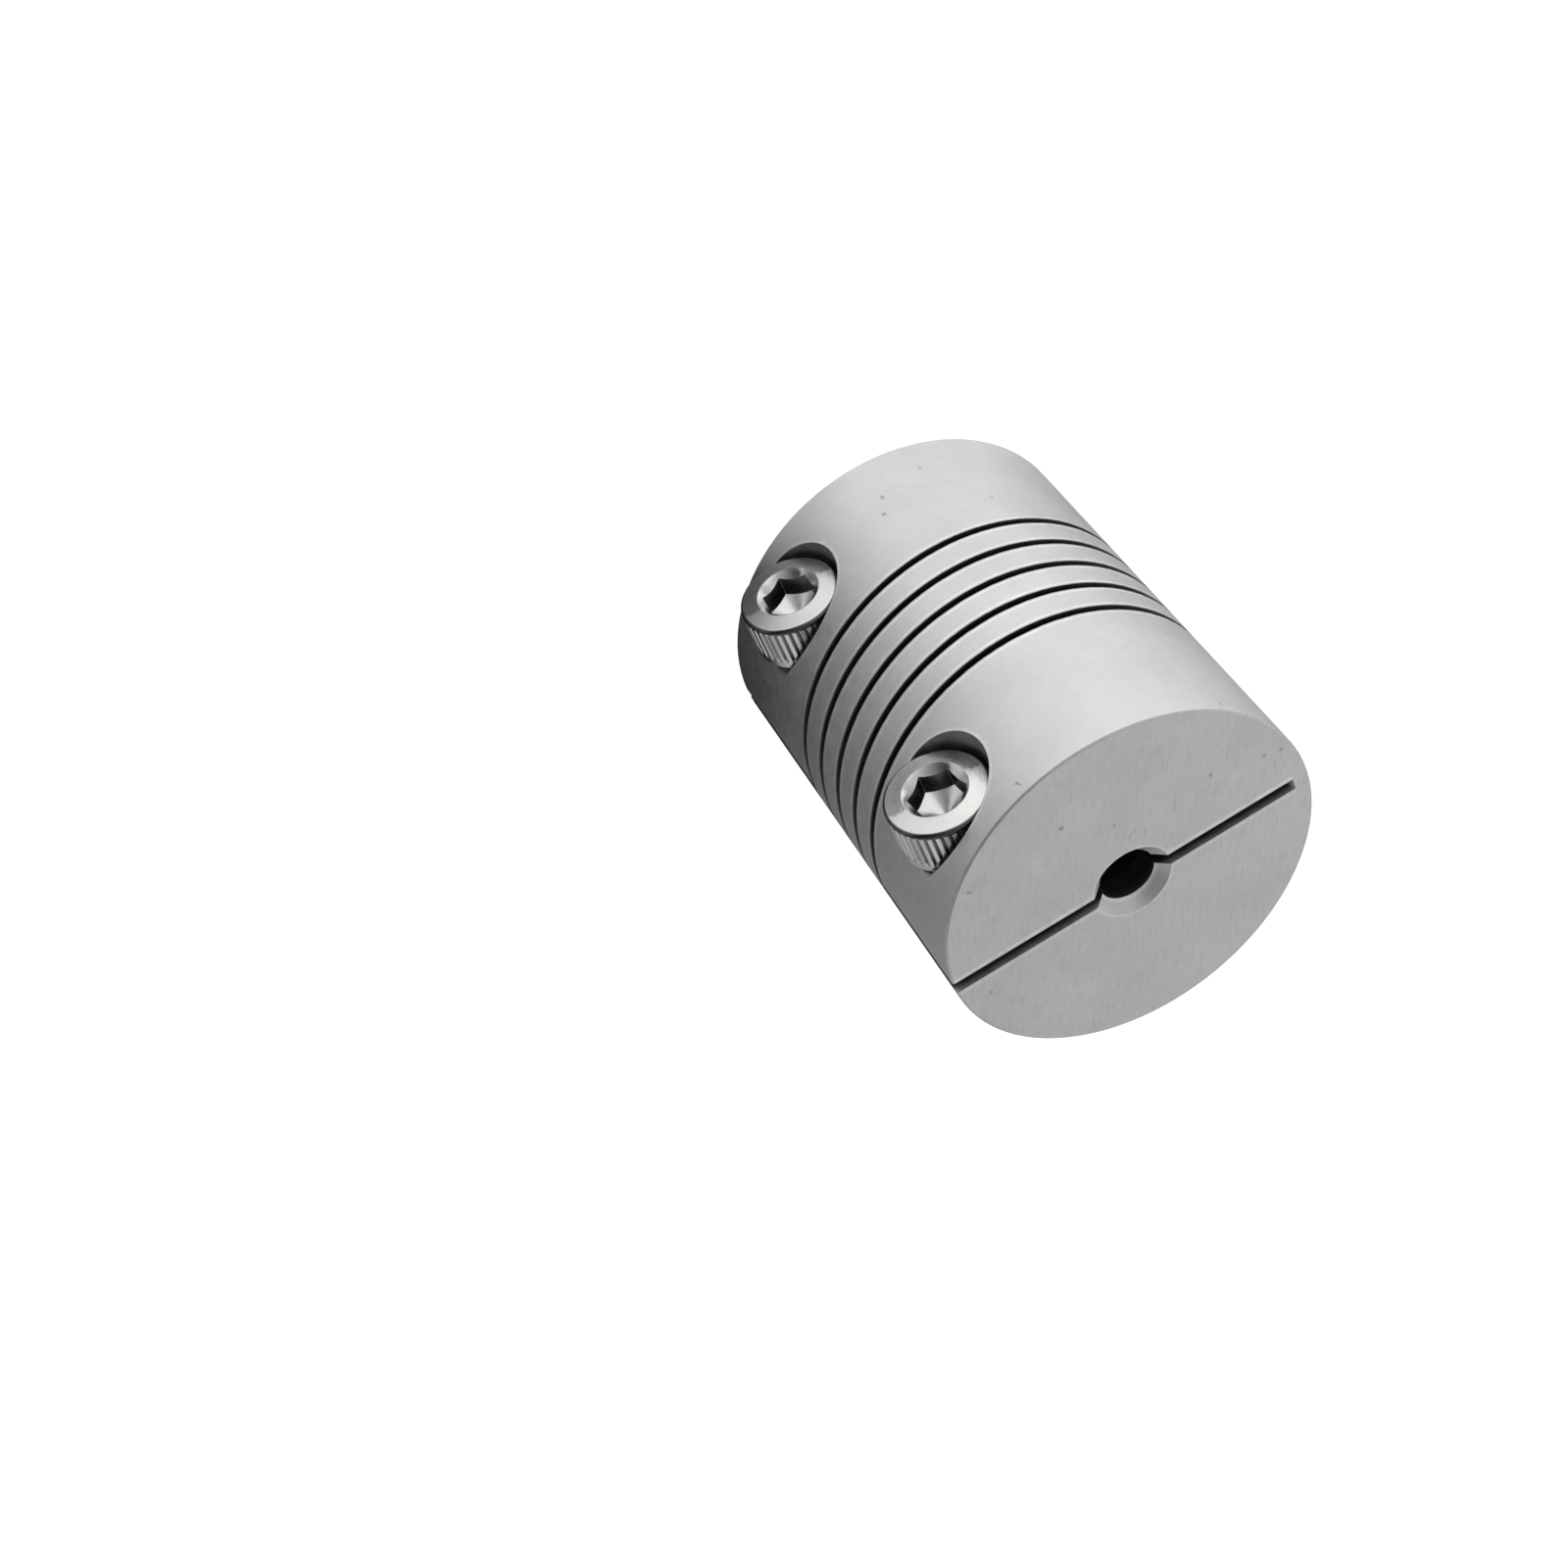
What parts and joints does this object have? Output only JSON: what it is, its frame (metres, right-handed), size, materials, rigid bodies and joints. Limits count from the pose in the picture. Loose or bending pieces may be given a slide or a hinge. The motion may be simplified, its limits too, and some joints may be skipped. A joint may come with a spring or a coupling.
{
  "type": "helical beam coupling",
  "caption": "Flexible shaft coupling: a metal cylinder with a helical cut, and at each end a slit clamp hub with a through bore and a cap screw.",
  "frame": {"origin": "centre of the rear end face, on the shaft axis", "axes": "+Z along the shaft axis from the rear hub to the front hub; both clamp slots open towards +X; both screw heads face -Y"},
  "size_m": [0.02, 0.02, 0.025],
  "materials": {
    "body_aluminium": "plain metal with a fine matt blasted skin",
    "screw_steel": "bright stainless, turned head face, knurled side"
  },
  "bodies": {
    "root": {"coupling_body": "body_aluminium", "front_clamp_screw": "screw_steel", "rear_clamp_screw": "screw_steel"}
  },
  "joints": []
}
